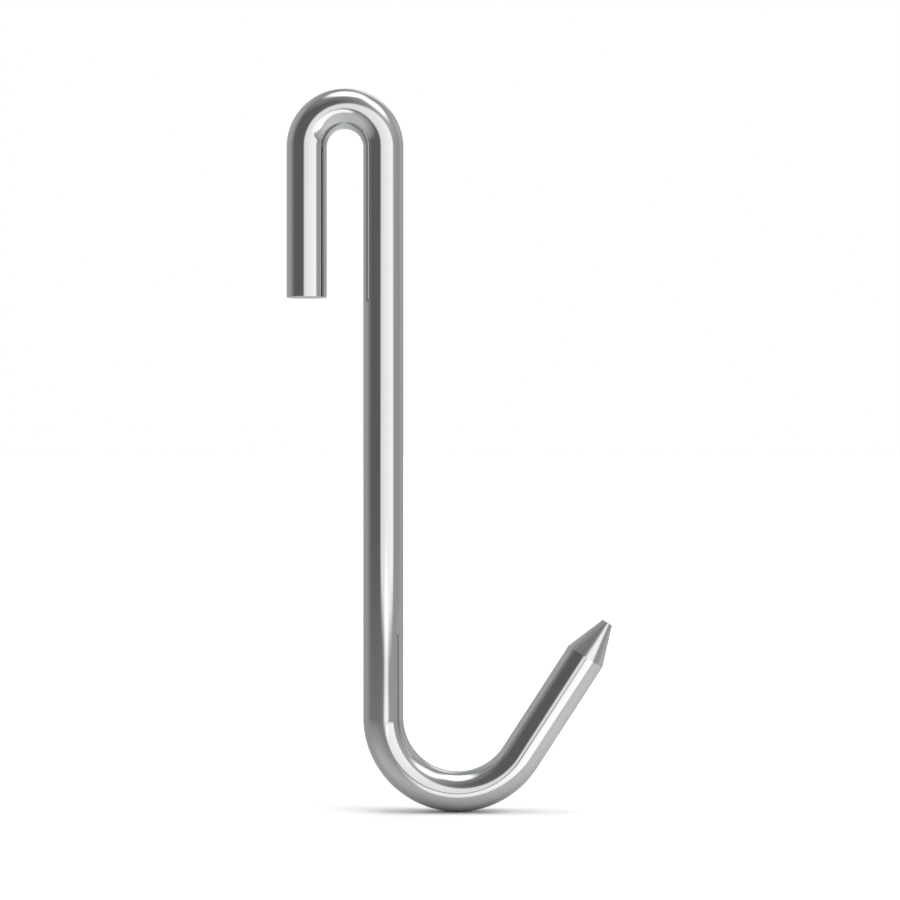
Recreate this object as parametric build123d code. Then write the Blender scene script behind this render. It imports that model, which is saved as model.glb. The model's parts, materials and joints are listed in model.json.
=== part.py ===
from build123d import *
import os

# A one-piece J-hook for hanging goods from a flat rail, bent cold from round stainless bar.
# Millimetres, +Z up. The origin is the inside crown of the saddle bend, where the hook bears
# on the rail. The bar's centre line lies in the XZ plane, with the point towards +X.

# Bar stock
bar_diameter = 10.0
edge_break = 0.1  # radius left on the rims of the two ends

# Saddle: the narrow bend and the short leg, which straddle the rail
rail_gap = 9.0  # clear width between the leg and the shank
leg_length = 37.3  # straight part of the leg, from the bend to its sawn end

# Shank
shank_length = 141.4  # straight part between the two bends

# Load bend and arm, which carry the goods
load_bend_inside_radius = 13.45
arm_angle = 57.1  # rise of the arm above the horizontal, in degrees
arm_length = 29.9  # straight part at full diameter

# Point, turned on the end of the arm
point_length = 10.0
tip_diameter = 2.7

# Worked out from the sizes above, for the bar's centre line
bar_radius = bar_diameter / 2
saddle_radius = rail_gap / 2 + bar_radius
load_bend_radius = load_bend_inside_radius + bar_radius
saddle_centre_z = -rail_gap / 2


def centre_line():
    """Leg, saddle bend, shank, load bend and arm, each tangent to the one before it."""
    leg_start = (-saddle_radius, saddle_centre_z - leg_length)
    leg_end = (-saddle_radius, saddle_centre_z)
    with BuildLine(Plane.XZ) as route:
        leg = Line(leg_start, leg_end)
        saddle = JernArc(leg @ 1, leg % 1, saddle_radius, -180)
        shank = Line(saddle @ 1, saddle @ 1 - Vector(0, 0, shank_length))
        load_bend = JernArc(shank @ 1, shank % 1, load_bend_radius, 90 + arm_angle)
        Line(load_bend @ 1, load_bend @ 1 + (load_bend % 1) * arm_length)
    return route.wire()


def bent_bar(route):
    """The round bar along its centre line, with the sawn end of the leg deburred."""
    section = Plane(route @ 0, z_dir=route % 0) * Circle(bar_radius)
    bar = sweep(section, path=route)
    sawn_face = bar.faces().sort_by_distance(route @ 0)[0]
    return fillet(sawn_face.edges(), edge_break)


def turned_point(route):
    """The cone that runs from the bar's full diameter down to a small blunt tip."""
    to_base_centre = (Align.CENTER, Align.CENTER, Align.MIN)
    cone = Cone(bar_radius, tip_diameter / 2, point_length, align=to_base_centre)
    tip_face = cone.faces().sort_by(Axis.Z)[-1]
    return Plane(route @ 1, z_dir=route % 1) * fillet(tip_face.edges(), edge_break)


def j_hook():
    """The whole hook as one solid."""
    route = centre_line()
    return bent_bar(route) + turned_point(route)


os.makedirs("parts", exist_ok=True)
export_step(j_hook(), "parts/j_hook.step")
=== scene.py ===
import json
import math
from types import SimpleNamespace

import bpy
from bpy.props import FloatProperty, FloatVectorProperty, IntProperty, PointerProperty
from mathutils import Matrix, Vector


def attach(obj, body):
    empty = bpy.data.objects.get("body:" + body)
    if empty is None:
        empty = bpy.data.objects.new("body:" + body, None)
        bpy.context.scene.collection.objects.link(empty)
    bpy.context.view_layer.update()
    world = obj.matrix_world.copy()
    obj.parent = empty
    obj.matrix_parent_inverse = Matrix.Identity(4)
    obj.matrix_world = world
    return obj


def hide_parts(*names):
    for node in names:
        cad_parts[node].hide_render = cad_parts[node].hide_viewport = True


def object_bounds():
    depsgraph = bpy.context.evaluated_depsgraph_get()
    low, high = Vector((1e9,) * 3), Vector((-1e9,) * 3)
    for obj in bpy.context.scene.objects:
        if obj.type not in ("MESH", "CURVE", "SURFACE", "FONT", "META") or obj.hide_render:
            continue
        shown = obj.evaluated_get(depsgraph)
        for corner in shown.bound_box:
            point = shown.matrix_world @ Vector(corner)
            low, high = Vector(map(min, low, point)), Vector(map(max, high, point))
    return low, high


bl_info = {
    "name": "Bent-bar J-hook",
    "version": (1, 0, 0),
    "blender": (4, 5, 0),
    "location": "3D View > Sidebar > J-hook",
    "description": "Models a polished J-hook bent from round bar and sets it in a white studio",
    "category": "Object",
}

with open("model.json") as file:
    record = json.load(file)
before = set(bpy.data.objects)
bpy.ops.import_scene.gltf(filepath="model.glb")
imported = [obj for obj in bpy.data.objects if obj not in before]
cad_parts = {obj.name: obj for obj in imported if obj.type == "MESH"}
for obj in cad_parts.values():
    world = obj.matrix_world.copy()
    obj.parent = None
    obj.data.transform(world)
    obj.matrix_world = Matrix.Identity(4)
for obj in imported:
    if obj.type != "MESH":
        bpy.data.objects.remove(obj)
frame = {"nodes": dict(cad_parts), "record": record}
CAD_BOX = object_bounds()

# ---------------------------------------------------------------- what the frame says of the hook
MOUNTS = {mount["name"]: mount for mount in frame["record"]["mounts"]}
ARM = MOUNTS["point_arm"]
BIGHT = Vector(MOUNTS["load_bight"]["pos_m"])
CAD_POINTS = [vertex.co for vertex in frame["nodes"]["j_hook"].data.vertices]

BAR_RADIUS = ARM["dims"]["r_mm"] / 1000
ARM_LENGTH = ARM["dims"]["length_mm"] / 1000
ARM_AXIS = Vector(ARM["axis"])
ARM_END = Vector(ARM["pos_m"]) + ARM_AXIS * ARM_LENGTH / 2
SADDLE_RADIUS = -CAD_BOX[0][0] - BAR_RADIUS
LEG_END = min(point.z for point in CAD_POINTS if point.x < 0)
LOAD_BEND_RADIUS = BIGHT.x - SADDLE_RADIUS
POINT_LENGTH = max((point - ARM_END).dot(ARM_AXIS) for point in CAD_POINTS if point.x > ARM_END.x)

SADDLE_CENTRE = Vector((0, 0, BAR_RADIUS - SADDLE_RADIUS))
LOAD_BEND_CENTRE = Vector((BIGHT.x, 0, BIGHT.z - BAR_RADIUS + LOAD_BEND_RADIUS))

# ---------------------------------------------------------------- how finely the bar is modelled
SADDLE_STEPS = 96  # rings round the narrow bend
LOAD_BEND_STEPS = 120  # rings round the wide bend
GUARDS_PER_RADIUS = 8  # the ring close to each end of a straight stretch is this near to it
RIM_STEPS = 8  # faces across a rounded rim
WELD = 1e-7  # metres: points closer than this become one
CREASE = math.radians(15)  # corners sharper than this stay sharp in the shading


# ---------------------------------------------------------------- settings a user would change
class HookBarSettings(bpy.types.PropertyGroup):
    """Sizes of the bent bar, along its centre line."""

    bar_radius: FloatProperty(
        name="Bar radius", description="Half the diameter of the round bar",
        default=BAR_RADIUS, min=0.001, subtype="DISTANCE", unit="LENGTH")
    saddle_radius: FloatProperty(
        name="Saddle radius", description="Centre-line radius of the bend that sits on the rail",
        default=SADDLE_RADIUS, min=0.001, subtype="DISTANCE", unit="LENGTH")
    leg_length: FloatProperty(
        name="Leg length", description="Straight part of the short leg",
        default=SADDLE_CENTRE.z - LEG_END, min=0.001, subtype="DISTANCE", unit="LENGTH")
    shank_length: FloatProperty(
        name="Shank length", description="Straight part between the two bends",
        default=SADDLE_CENTRE.z - LOAD_BEND_CENTRE.z, min=0.001,
        subtype="DISTANCE", unit="LENGTH")
    load_bend_radius: FloatProperty(
        name="Load bend radius",
        description="Centre-line radius of the bend that carries the goods",
        default=LOAD_BEND_RADIUS, min=0.001, subtype="DISTANCE", unit="LENGTH")
    arm_rise: FloatProperty(
        name="Arm rise", description="Angle of the arm above the horizontal",
        default=math.atan2(ARM_AXIS.z, ARM_AXIS.x), subtype="ANGLE", unit="ROTATION")
    arm_length: FloatProperty(
        name="Arm length", description="Straight part of the arm at full diameter",
        default=ARM_LENGTH, min=0.001, subtype="DISTANCE", unit="LENGTH")
    point_length: FloatProperty(
        name="Point length", description="Length of the cone turned on the end of the arm",
        default=POINT_LENGTH, min=0.001, subtype="DISTANCE", unit="LENGTH")
    tip_radius: FloatProperty(
        name="Tip radius", description="Radius of the small blunt end of the cone",
        default=0.00135, min=0.0001, subtype="DISTANCE", unit="LENGTH")
    rim_radius: FloatProperty(
        name="Rim radius", description="Rounding of the rims of the two ends",
        default=0.0001, min=0.00001, subtype="DISTANCE", unit="LENGTH")
    sides: IntProperty(
        name="Sides", description="Faces around the bar", default=128, min=16, max=256)


class HookSteelSettings(bpy.types.PropertyGroup):
    """Finish of the polished stainless bar."""

    steel_color: FloatVectorProperty(
        name="Steel", description="Colour of light that the bare steel reflects head-on",
        default=(0.50, 0.505, 0.503), min=0, max=1, subtype="COLOR")
    polish: FloatProperty(
        name="Polish", description="Roughness of the mirror-polished bar",
        default=0.01, min=0, max=1, subtype="FACTOR")
    turned_finish: FloatProperty(
        name="Turned finish", description="Roughness of the turned cone",
        default=0.012, min=0, max=1, subtype="FACTOR")
    sawn_finish: FloatProperty(
        name="Sawn finish", description="Roughness of the sawn and deburred end of the leg",
        default=0.16, min=0, max=1, subtype="FACTOR")


class HookStudioSettings(bpy.types.PropertyGroup):
    """The white studio round the hook."""

    floor_color: FloatVectorProperty(
        name="Floor", description="Colour of the plain pale floor",
        default=(0.86, 0.86, 0.86), min=0, max=1, subtype="COLOR")
    floor_light: FloatProperty(
        name="Floor light", description="Strength of the room's light on the floor",
        default=2.72, min=0)
    floor_size: FloatProperty(
        name="Floor size", description="Side of the square floor",
        default=60, min=1, subtype="DISTANCE", unit="LENGTH")
    # reach of the painted contact shadow, from ambient occlusion, that the steel sees on the floor
    shadow_reach: FloatProperty(
        name="Shadow reach", description="How far off the hook the floor mirrored in it is shaded",
        default=0.03, min=0, subtype="DISTANCE", unit="LENGTH")
    backdrop: FloatProperty(
        name="Backdrop", description="Brightness of the empty background", default=1.0, min=0)
    distance: FloatProperty(
        name="Camera distance", description="From the lens to the plane of the bends",
        default=0.62035, min=0.1, subtype="DISTANCE", unit="LENGTH")
    aside: FloatProperty(
        name="Camera aside", description="From the middle of the slot to the lens, to the right",
        default=0.02604, subtype="DISTANCE", unit="LENGTH")
    height: FloatProperty(
        name="Camera height", description="From the crown of the slot up to the lens",
        default=-0.07964, subtype="DISTANCE", unit="LENGTH")
    lens: FloatProperty(
        name="Lens", description="Focal length on a 36 mm sensor",
        default=100, min=10, unit="CAMERA")


# ---------------------------------------------------------------- modelling by hand, in code
def route_of(sizes):
    """The bar's centre line: the centres of its bends, its corners and its directions."""
    saddle_centre = Vector((0, 0, sizes.bar_radius - sizes.saddle_radius))
    shank_foot = saddle_centre + Vector((sizes.saddle_radius, 0, -sizes.shank_length))
    load_centre = shank_foot + Vector((sizes.load_bend_radius, 0, 0))
    arm_axis = Vector((math.cos(sizes.arm_rise), 0, math.sin(sizes.arm_rise)))
    outward = Vector((math.sin(sizes.arm_rise), 0, -math.cos(sizes.arm_rise)))
    arm_start = load_centre + outward * sizes.load_bend_radius
    shoulder = arm_start + arm_axis * sizes.arm_length
    return SimpleNamespace(
        saddle_centre=saddle_centre,
        leg_foot=saddle_centre + Vector((-sizes.saddle_radius, 0, -sizes.leg_length)),
        load_centre=load_centre,
        load_turn=math.pi / 2 + sizes.arm_rise,
        arm_axis=arm_axis,
        outward=outward,
        arm_start=arm_start,
        tip=shoulder + arm_axis * sizes.point_length,
    )


def select_edges(piece, wanted):
    """In edit mode, selects the edges whose two ends both pass the test."""
    bpy.ops.mesh.select_mode(type="EDGE")
    bpy.ops.mesh.select_all(action="DESELECT")
    bpy.ops.object.mode_set(mode="OBJECT")
    mesh = piece.data
    for edge in mesh.edges:
        edge.select = all(wanted(mesh.vertices[index].co) for index in edge.vertices)
    bpy.ops.object.mode_set(mode="EDIT")


def extrude_ring(direction, length):
    """Draws the selected ring of the bar out along a straight line."""
    bpy.ops.mesh.extrude_region_move(
        TRANSFORM_OT_translate={"value": tuple(direction * length)})


def draw_straight(direction, length, guard):
    """A straight stretch, with a ring close to each end to keep its shading straight."""
    extrude_ring(direction, guard)
    extrude_ring(direction, length - 2 * guard)
    extrude_ring(direction, guard)


def bend_ring(centre, turn, steps):
    """Turns the selected ring about a line square to the plane of the bends."""
    bpy.ops.mesh.spin(
        steps=steps, angle=turn, center=tuple(centre), axis=(0, 1, 0), dupli=False)


def build_bar(sizes):
    """Bends the bar from the leg's end to the tip, closes both ends and rounds their rims."""
    route = route_of(sizes)
    guard = sizes.bar_radius / GUARDS_PER_RADIUS

    bpy.ops.object.select_all(action="DESELECT")
    bpy.ops.mesh.primitive_circle_add(
        vertices=sizes.sides, radius=sizes.bar_radius, fill_type="NOTHING",
        location=route.leg_foot)
    bar = bpy.context.object
    bar.name = "bent_bar"
    bar.data.name = "bent_bar"
    bpy.ops.object.transform_apply(location=True, rotation=False, scale=False)
    bpy.ops.object.mode_set(mode="EDIT")
    bpy.ops.mesh.select_all(action="SELECT")
    draw_straight(Vector((0, 0, 1)), sizes.leg_length, guard)
    bend_ring(route.saddle_centre, -math.pi, SADDLE_STEPS)
    draw_straight(Vector((0, 0, -1)), sizes.shank_length, guard)
    bend_ring(route.load_centre, route.load_turn, LOAD_BEND_STEPS)
    draw_straight(route.arm_axis, sizes.arm_length, guard)
    extrude_ring(route.arm_axis, sizes.point_length)
    shrink = sizes.tip_radius / sizes.bar_radius
    bpy.ops.transform.resize(value=(shrink, shrink, shrink), center_override=route.tip)
    bpy.ops.mesh.edge_face_add()

    def at_leg_foot(point):
        return point.x < 0 and point.z < route.leg_foot.z + guard / 2

    def at_tip(point):
        return (point - route.tip).length < sizes.tip_radius + guard / 2

    select_edges(bar, at_leg_foot)
    bpy.ops.mesh.edge_face_add()
    select_edges(bar, lambda point: at_leg_foot(point) or at_tip(point))
    bpy.ops.mesh.bevel(offset=sizes.rim_radius, segments=RIM_STEPS, affect="EDGES")
    bpy.ops.mesh.select_all(action="SELECT")
    bpy.ops.mesh.remove_doubles(threshold=WELD)
    bpy.ops.mesh.normals_make_consistent(inside=False)
    bpy.ops.object.mode_set(mode="OBJECT")
    bpy.ops.object.shade_smooth_by_angle(angle=CREASE)
    return bar


def mark_straight_bar(bar, sizes):
    """Stores where each vertex lay on the bar before it was bent, x and y across, z along."""
    route = route_of(sizes)
    saddle_end = sizes.leg_length + math.pi * sizes.saddle_radius
    shank_end = saddle_end + sizes.shank_length
    load_bend_end = shank_end + route.load_turn * sizes.load_bend_radius

    def unbend(point):
        along_arm = (point - route.arm_start).dot(route.arm_axis)
        if along_arm > 0 and point.x > route.load_centre.x:
            return (route.arm_start - point).dot(route.outward), load_bend_end + along_arm
        if point.z < route.load_centre.z:
            spoke = point - route.load_centre
            turned = math.atan2(-spoke.z, -spoke.x)
            across = sizes.load_bend_radius - math.hypot(spoke.x, spoke.z)
            return across, shank_end + turned * sizes.load_bend_radius
        if point.z > route.saddle_centre.z:
            spoke = point - route.saddle_centre
            turned = math.atan2(spoke.z, -spoke.x)
            across = math.hypot(spoke.x, spoke.z) - sizes.saddle_radius
            return across, sizes.leg_length + turned * sizes.saddle_radius
        below_saddle = route.saddle_centre.z - point.z
        if point.x > 0:
            return point.x - sizes.saddle_radius, saddle_end + below_saddle
        return -sizes.saddle_radius - point.x, sizes.leg_length - below_saddle

    place = bar.data.attributes.new("straight_bar", "FLOAT_VECTOR", "POINT")
    for vertex in bar.data.vertices:
        across, along = unbend(vertex.co)
        place.data[vertex.index].vector = (across, vertex.co.y, along)


# ---------------------------------------------------------------- sums in nodes
def add_node(tree, kind, **settings):
    """A new node with its own settings made."""
    node = tree.nodes.new(kind)
    for name, value in settings.items():
        setattr(node, name, value)
    return node


def feed(tree, socket, value):
    """Links a socket to another, or sets it to a plain number or colour."""
    if isinstance(value, bpy.types.NodeSocket):
        tree.links.new(value, socket)
    else:
        socket.default_value = value


def math_node(tree, operation, *values):
    """One sum on numbers or sockets."""
    node = add_node(tree, "ShaderNodeMath", operation=operation)
    for socket, value in zip(node.inputs, values):
        feed(tree, socket, value)
    return node.outputs[0]


def fade(tree, value, start, end):
    """0 before start and 1 after end, with a smooth step between them."""
    node = add_node(tree, "ShaderNodeMapRange", interpolation_type="SMOOTHSTEP")
    feed(tree, node.inputs["Value"], value)
    feed(tree, node.inputs["From Min"], start)
    feed(tree, node.inputs["From Max"], end)
    return node.outputs[0]


def mix_value(tree, share, low, high):
    """A plain number between two others."""
    node = add_node(tree, "ShaderNodeMix", data_type="FLOAT", clamp_factor=True)
    feed(tree, node.inputs[0], share)
    feed(tree, node.inputs[2], low)
    feed(tree, node.inputs[3], high)
    return node.outputs[0]


def mix_color(tree, share, low, high):
    """A colour between two others."""
    node = add_node(tree, "ShaderNodeMix", data_type="RGBA")
    feed(tree, node.inputs[0], share)
    feed(tree, node.inputs[6], (*low, 1.0))
    feed(tree, node.inputs[7], (*high, 1.0))
    return node.outputs[2]


def graded(tree, value, start, end, before, after):
    """A level that goes smoothly from before to after while value goes from start to end."""
    return mix_value(tree, fade(tree, value, start, end), before, after)


def noise(tree, place, scale, detail, roughness):
    """Procedural noise round one half."""
    node = add_node(tree, "ShaderNodeTexNoise", noise_dimensions="3D")
    feed(tree, node.inputs["Vector"], place)
    feed(tree, node.inputs["Scale"], scale)
    feed(tree, node.inputs["Detail"], detail)
    feed(tree, node.inputs["Roughness"], roughness)
    return node.outputs["Fac"]


# ---------------------------------------------------------------- finishes
LINE_DEPTH = 1e-6  # metres from the top of a line to its foot
POLISHED_BAR, TURNED_POINT, SAWN_END = range(3)  # material slots of the bar


def polish_group():
    """Fine lines left by drawing, turning or sawing: a roughness and a height that vary."""
    group = bpy.data.node_groups.new("polish_lines", "ShaderNodeTree")
    sockets = (("Place", "INPUT", "NodeSocketVector"), ("Line Width", "INPUT", "NodeSocketFloat"),
               ("Roughness", "INPUT", "NodeSocketFloat"), ("Spread", "INPUT", "NodeSocketFloat"),
               ("Roughness", "OUTPUT", "NodeSocketFloat"), ("Height", "OUTPUT", "NodeSocketFloat"))
    for name, way, kind in sockets:
        group.interface.new_socket(name, in_out=way, socket_type=kind)
    entry = add_node(group, "NodeGroupInput")
    leave = add_node(group, "NodeGroupOutput")
    place = entry.outputs["Place"]
    lines_per_metre = math_node(group, "DIVIDE", 1.0, entry.outputs["Line Width"])
    lines = noise(group, place, lines_per_metre, detail=3.0, roughness=0.6)
    handling = noise(group, place, scale=60.0, detail=2.0, roughness=0.5)
    both = math_node(group, "ADD", lines, handling)
    varied = math_node(
        group, "MULTIPLY_ADD", both, entry.outputs["Spread"], entry.outputs["Roughness"])
    feed(group, leave.inputs["Roughness"], varied)
    feed(group, leave.inputs["Height"], lines)
    return group


def steel_material(name, group, color, *, roughness, spread, line_width, stretch, bump, edge):
    """Bare steel with fine lines in it.

    stretch scales the lines' pattern across, across and along the bar: the lines run the way in
    which it is small. edge is how much of the light the steel keeps at a glancing angle.
    """
    material = bpy.data.materials.new(name)
    material.use_nodes = True
    tree = material.node_tree
    steel = tree.nodes["Principled BSDF"]
    feed(tree, steel.inputs["Metallic"], 1.0)
    feed(tree, steel.inputs["Base Color"], (*color, 1.0))
    feed(tree, steel.inputs["Specular Tint"], (edge, edge, edge, 1.0))
    place = add_node(tree, "ShaderNodeAttribute", attribute_name="straight_bar")
    squeeze = add_node(tree, "ShaderNodeMapping")
    feed(tree, squeeze.inputs["Scale"], stretch)
    feed(tree, squeeze.inputs["Vector"], place.outputs["Vector"])
    lines = add_node(tree, "ShaderNodeGroup", node_tree=group)
    feed(tree, lines.inputs["Place"], squeeze.outputs["Vector"])
    feed(tree, lines.inputs["Line Width"], line_width)
    feed(tree, lines.inputs["Roughness"], roughness)
    feed(tree, lines.inputs["Spread"], spread)
    feed(tree, steel.inputs["Roughness"], lines.outputs["Roughness"])
    relief = add_node(tree, "ShaderNodeBump")
    feed(tree, relief.inputs["Strength"], bump)
    feed(tree, relief.inputs["Distance"], LINE_DEPTH)
    feed(tree, relief.inputs["Height"], lines.outputs["Height"])
    feed(tree, steel.inputs["Normal"], relief.outputs["Normal"])
    return material


def give_finishes(bar, finish, sizes):
    """Polished bar, turned cone and sawn leg end, each face by its place on the straight bar."""
    group = polish_group()
    color = tuple(finish.steel_color)
    for material in (
        steel_material(
            "polished_bar", group, color, roughness=finish.polish, spread=0.006,
            line_width=0.0004, stretch=(1, 1, 0.01), bump=0.02, edge=0.85),
        steel_material(
            "turned_point", group, color, roughness=finish.turned_finish, spread=0.01,
            line_width=0.0003, stretch=(0.05, 0.05, 1), bump=0.05, edge=0.85),
        steel_material(
            "sawn_end", group, color, roughness=finish.sawn_finish, spread=0.04,
            line_width=0.0003, stretch=(1, 0.02, 0.02), bump=0.1, edge=0.6),
    ):
        bar.data.materials.append(material)
    place = bar.data.attributes["straight_bar"].data
    point_start = max(item.vector.z for item in place) - sizes.point_length
    margin = sizes.rim_radius / 10
    for face in bar.data.polygons:
        along = [place[index].vector.z for index in face.vertices]
        if min(along) > point_start - margin:
            face.material_index = TURNED_POINT
        elif max(along) < margin:
            face.material_index = SAWN_END


# ---------------------------------------------------------------- the room of lights
def look_round(tree):
    """The direction that the steel mirrors, and its angles in degrees.

    Azimuth is 0 towards the lens, 90 to the right of the hook and 180 behind it. Elevation is 0
    level with the hook and 90 overhead.
    """
    look = add_node(tree, "ShaderNodeTexCoord")
    direction = look.outputs["Generated"]
    axes = add_node(tree, "ShaderNodeSeparateXYZ")
    feed(tree, axes.inputs[0], direction)
    towards_lens = math_node(tree, "MULTIPLY", axes.outputs["Y"], -1.0)
    azimuth = math_node(tree, "ARCTAN2", axes.outputs["X"], towards_lens)
    elevation = math_node(tree, "ARCSINE", axes.outputs["Z"])
    return SimpleNamespace(
        direction=direction,
        azimuth=math_node(tree, "DEGREES", azimuth),
        elevation=math_node(tree, "DEGREES", elevation),
    )


def reach_of(tree, azimuth, elevation, *, around, up, half_width, half_height):
    """0 in the middle of an oval light and 1 on its outline."""
    across = math_node(tree, "DIVIDE", math_node(tree, "SUBTRACT", azimuth, around), half_width)
    above = math_node(tree, "DIVIDE", math_node(tree, "SUBTRACT", elevation, up), half_height)
    squares = [math_node(tree, "POWER", share, 2.0) for share in (across, above)]
    return math_node(tree, "SQRT", math_node(tree, "ADD", *squares))


def dome(tree, look, *, around, half_width, foot, height, edge, foot_edge, sag):
    """Mask of a half-round light on a foot that sags in the middle.

    edge and foot_edge are half the width of its soft rims, and sag is how far the foot rises
    aside of its middle, in degrees for each square degree.
    """
    aside = math_node(tree, "SUBTRACT", look.azimuth, around)
    lift = math_node(tree, "MULTIPLY", math_node(tree, "POWER", aside, 2.0), sag)
    lowered = math_node(tree, "SUBTRACT", look.elevation, lift)
    reach = reach_of(tree, look.azimuth, lowered,
                     around=around, up=foot, half_width=half_width, half_height=height)
    round_edge = fade(tree, reach, 1 + edge / height, 1 - edge / height)
    return math_node(tree, "MULTIPLY", round_edge,
                     fade(tree, lowered, foot - foot_edge, foot + foot_edge))


def disc(tree, look, *, around, up, core, rim):
    """Mask of a round light, solid out to core and gone at rim."""
    azimuth, elevation = math.radians(around), math.radians(up)
    towards = (math.cos(elevation) * math.sin(azimuth),
               -math.cos(elevation) * math.cos(azimuth),
               math.sin(elevation))
    facing = add_node(tree, "ShaderNodeVectorMath", operation="DOT_PRODUCT")
    feed(tree, facing.inputs[0], look.direction)
    feed(tree, facing.inputs[1], towards)
    angle = math_node(tree, "DEGREES", math_node(tree, "ARCCOSINE", facing.outputs["Value"]))
    return math_node(tree, "SUBTRACT", 1.0, fade(tree, angle, core, rim))


def patch(tree, look, level, *, around, up, rim, more):
    """The level with a soft round patch of light added, or taken away."""
    mask = disc(tree, look, around=around, up=up, core=2, rim=rim)
    return math_node(tree, "MULTIPLY_ADD", mask, more, level)


def build_walls(tree, look):
    """Pale walls, with a dark one to the left of the lens that lightens upwards."""
    left = graded(tree, look.elevation, 37, 52, before=0.335, after=0.245)
    corner = math_node(tree, "MULTIPLY", fade(tree, look.azimuth, 92, 104),
                       fade(tree, look.azimuth, 116, 104))
    right = math_node(tree, "MULTIPLY_ADD", corner, -0.03, 0.265)
    walls = graded(tree, look.azimuth, 0, 60, before=left, after=right)
    darkness = math_node(tree, "MULTIPLY", fade(tree, look.azimuth, -114, -66),
                         fade(tree, look.azimuth, 56, -24))
    dark_wall = graded(tree, look.elevation, 38, 61, before=0.097, after=0.19)
    walls = mix_value(tree, darkness, walls, dark_wall)
    # behind the hook: right wall, window on the right, left wall
    walls = patch(tree, look, walls, around=124, up=23, rim=35, more=0.13)
    walls = patch(tree, look, walls, around=163, up=38, rim=20, more=0.54)
    walls = patch(tree, look, walls, around=-137, up=49, rim=14, more=0.065)
    # shine of the high lamp: wide, then its bright right side and its foot
    walls = patch(tree, look, walls, around=58, up=38, rim=51, more=0.10)
    walls = patch(tree, look, walls, around=88, up=61, rim=18, more=0.33)
    return patch(tree, look, walls, around=67, up=46, rim=19, more=0.33)


def add_floor(tree, look, walls):
    """The walls with the floor under them, which mirrors them far off and is pale near by."""
    far_floor = math_node(tree, "MULTIPLY_ADD", walls, 0.585, 0.143)
    near_floor = graded(tree, look.azimuth, -58, 63, before=0.435, after=0.53)
    near_floor = graded(tree, look.azimuth, 85, 118, before=near_floor, after=0.47)
    room = graded(tree, look.elevation, 0, -13, before=walls, after=far_floor)
    room = graded(tree, look.elevation, 0, -40, before=room, after=near_floor)
    # pale backdrop behind the hook, and its sweep on the floor
    room = patch(tree, look, room, around=171, up=10, rim=26, more=0.22)
    room = patch(tree, look, room, around=167, up=-15, rim=27, more=0.26)
    # floor along the right wall, and in the shade on the left
    room = patch(tree, look, room, around=114, up=-17, rim=30, more=0.09)
    return patch(tree, look, room, around=-117, up=-29, rim=50, more=-0.105)


def add_lamps(tree, look, room):
    """The room with its ceiling light, its high lamp, the softbox and the softbox's glow."""
    ceiling = disc(tree, look, around=66, up=89, core=4, rim=28)
    room = mix_value(tree, ceiling, room, 2.0)
    lamp_reach = reach_of(tree, look.azimuth, look.elevation,
                          around=63, up=58.5, half_width=39, half_height=27)
    room = graded(tree, lamp_reach, 1.0, 0.0, before=room, after=1.6)
    softbox = dome(tree, look, around=23, half_width=37, foot=-4.5, height=37,
                   edge=5, foot_edge=1, sag=0.001)
    softbox_level = graded(tree, look.azimuth, -86, 64, before=0.505, after=0.89)
    room = mix_value(tree, softbox, room, softbox_level)
    glow = dome(tree, look, around=18, half_width=28.5, foot=-29, height=25,
                edge=3, foot_edge=2.5, sag=0.003)
    glow_level = graded(tree, look.azimuth, 1, 28, before=0.90, after=0.995)
    below_softbox = math_node(tree, "MULTIPLY", glow, math_node(tree, "SUBTRACT", 1.0, softbox))
    room = mix_value(tree, below_softbox, room, 0.0)
    return math_node(tree, "MULTIPLY_ADD", glow, glow_level, room)


def build_room_light(tree):
    """What the polished steel sees all round it: white light, slightly blue behind the hook."""
    look = look_round(tree)
    room = add_lamps(tree, look, add_floor(tree, look, build_walls(tree, look)))
    behind = fade(tree, math_node(tree, "ABSOLUTE", look.azimuth), 90, 170)
    tint = mix_color(tree, behind, (1.0, 1.0, 1.005), (0.975, 1.0, 1.03))
    tinted = add_node(tree, "ShaderNodeVectorMath", operation="SCALE")
    feed(tree, tinted.inputs[0], tint)
    feed(tree, tinted.inputs["Scale"], room)
    return tinted.outputs[0]


def build_world(studio, steel_level):
    """White to the lens, and the room of lights to the steel and the floor."""
    world = bpy.data.worlds.new("white_studio")
    bpy.context.scene.world = world
    world.use_nodes = True
    tree = world.node_tree
    tree.nodes.clear()
    seen = add_node(tree, "ShaderNodeLightPath")
    # the steel shows the room at the room's own level, and throws it on the floor at the floor's
    before_floor = math_node(tree, "LESS_THAN", seen.outputs["Diffuse Depth"], 0.5)
    in_steel = math_node(tree, "MULTIPLY", seen.outputs["Is Glossy Ray"], before_floor)
    lights = add_node(tree, "ShaderNodeBackground")
    feed(tree, lights.inputs["Color"], build_room_light(tree))
    feed(tree, lights.inputs["Strength"],
         mix_value(tree, in_steel, studio.floor_light, 1 / steel_level))
    plain = add_node(tree, "ShaderNodeBackground")
    feed(tree, plain.inputs["Color"], (1.0, 1.0, 1.0, 1.0))
    feed(tree, plain.inputs["Strength"], studio.backdrop)
    choose = add_node(tree, "ShaderNodeMixShader")
    feed(tree, choose.inputs[0], seen.outputs["Is Camera Ray"])
    feed(tree, choose.inputs[1], lights.outputs[0])
    feed(tree, choose.inputs[2], plain.outputs[0])
    out = add_node(tree, "ShaderNodeOutputWorld")
    feed(tree, out.inputs["Surface"], choose.outputs[0])
    world.cycles.sampling_method = "MANUAL"
    world.cycles.sample_map_resolution = 2048


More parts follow.
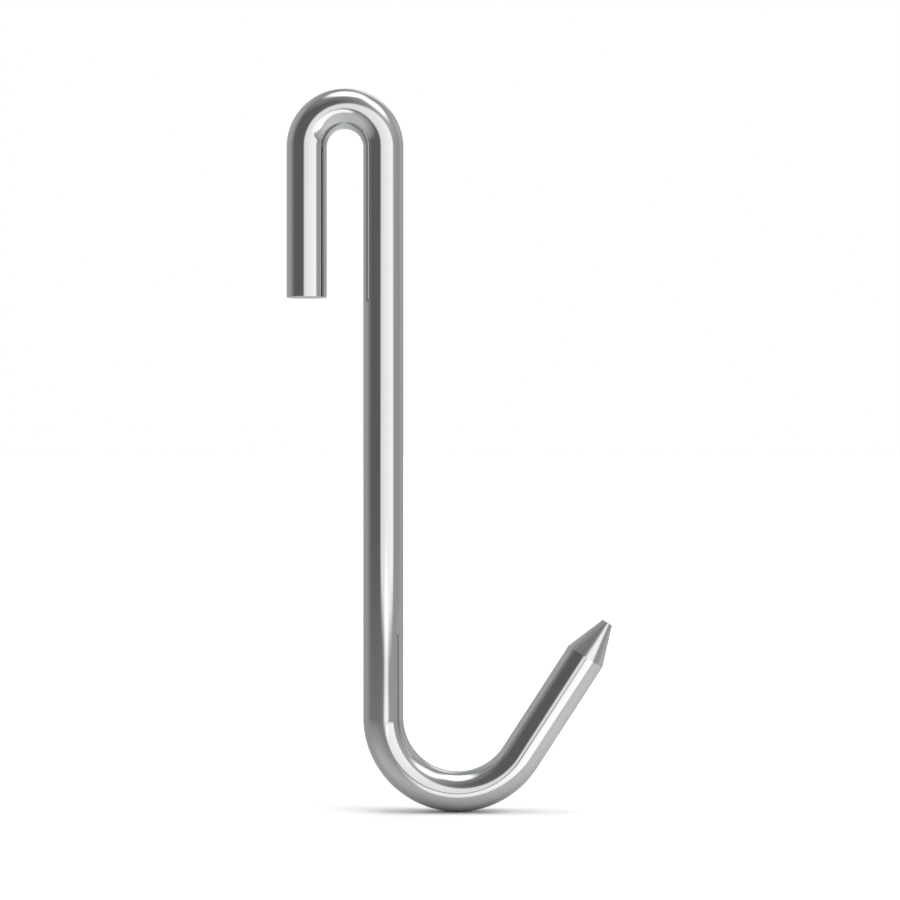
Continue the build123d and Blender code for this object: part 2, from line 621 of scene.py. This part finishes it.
# ---------------------------------------------------------------- floor and camera
def floor_material(studio):
    """Pale and matt. In reflections it is see-through, with a painted contact shadow from ambient
    occlusion over the room's own floor.
    """
    material = bpy.data.materials.new("pale_floor")
    material.use_nodes = True
    tree = material.node_tree
    tree.nodes.clear()
    matt = add_node(tree, "ShaderNodeBsdfDiffuse")
    feed(tree, matt.inputs["Color"], (*studio.floor_color, 1.0))
    # painted contact shadow: ambient occlusion near the hook darkens what the steel sees through
    # the floor
    contact = add_node(tree, "ShaderNodeAmbientOcclusion", samples=16)
    feed(tree, contact.inputs["Distance"], studio.shadow_reach)
    clear = add_node(tree, "ShaderNodeBsdfTransparent")
    feed(tree, clear.inputs["Color"], contact.outputs["Color"])
    seen = add_node(tree, "ShaderNodeLightPath")
    choose = add_node(tree, "ShaderNodeMixShader")
    feed(tree, choose.inputs[0], seen.outputs["Is Glossy Ray"])
    feed(tree, choose.inputs[1], matt.outputs[0])
    feed(tree, choose.inputs[2], clear.outputs[0])
    out = add_node(tree, "ShaderNodeOutputMaterial")
    feed(tree, out.inputs["Surface"], choose.outputs[0])
    return material


def build_floor(studio):
    """A plain level floor under the lowest point of the load bend."""
    bpy.ops.object.select_all(action="DESELECT")
    bpy.ops.mesh.primitive_plane_add(size=studio.floor_size, location=(0, 0, CAD_BOX[0][2]))
    floor = bpy.context.object
    floor.name = "studio_floor"
    bpy.ops.object.transform_apply(location=True, rotation=False, scale=False)
    floor.data.materials.append(floor_material(studio))


def build_camera(studio):
    """Level, square on to the plane of the bends and in line with the middle of the hook."""
    bpy.ops.object.camera_add(
        location=(studio.aside, -studio.distance, studio.height), rotation=(math.pi / 2, 0, 0))
    camera = bpy.context.object
    camera.name = "studio_camera"
    camera.data.sensor_width = 36
    camera.data.lens = studio.lens
    camera.data.clip_end = 200
    bpy.context.scene.camera = camera
    bpy.context.scene.view_settings.view_transform = "Standard"


# ---------------------------------------------------------------- operators, panel, registration
class JHOOK_OT_bend_bar(bpy.types.Operator):
    """Model the bent bar with its turned point and give it its polished finish"""

    bl_idname = "jhook.bend_bar"
    bl_label = "Bend the bar"

    def execute(self, context):
        sizes = context.scene.jhook_bar
        bar = build_bar(sizes)
        mark_straight_bar(bar, sizes)
        give_finishes(bar, context.scene.jhook_steel, sizes)
        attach(bar, "root")
        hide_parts("j_hook")
        return {"FINISHED"}


class JHOOK_OT_set_studio(bpy.types.Operator):
    """Set the pale floor, the room of soft lights and the camera"""

    bl_idname = "jhook.set_studio"
    bl_label = "Set the studio"

    def execute(self, context):
        studio = context.scene.jhook_studio
        build_floor(studio)
        build_world(studio, context.scene.jhook_steel.steel_color[1])
        build_camera(studio)
        return {"FINISHED"}


class JHOOK_PT_sidebar(bpy.types.Panel):
    """Settings and steps of the J-hook"""

    bl_idname = "JHOOK_PT_sidebar"
    bl_label = "J-hook"
    bl_space_type = "VIEW_3D"
    bl_region_type = "UI"
    bl_category = "J-hook"

    def draw(self, context):
        for group, operator in (("jhook_bar", JHOOK_OT_bend_bar), ("jhook_steel", None),
                                ("jhook_studio", JHOOK_OT_set_studio)):
            settings = getattr(context.scene, group)
            for name in settings.__annotations__:
                self.layout.prop(settings, name)
            if operator is not None:
                self.layout.operator(operator.bl_idname)


SETTINGS = {
    "jhook_bar": HookBarSettings,
    "jhook_steel": HookSteelSettings,
    "jhook_studio": HookStudioSettings,
}
CLASSES = (*SETTINGS.values(), JHOOK_OT_bend_bar, JHOOK_OT_set_studio, JHOOK_PT_sidebar)


def register():
    for cls in CLASSES:
        bpy.utils.register_class(cls)
    for name, group in SETTINGS.items():
        setattr(bpy.types.Scene, name, PointerProperty(type=group))


def unregister():
    for name in SETTINGS:
        delattr(bpy.types.Scene, name)
    for cls in reversed(CLASSES):
        bpy.utils.unregister_class(cls)


def main():
    """Builds everything in order."""
    register()
    bpy.ops.jhook.bend_bar()
    bpy.ops.jhook.set_studio()


if __name__ == "__main__":
    main()
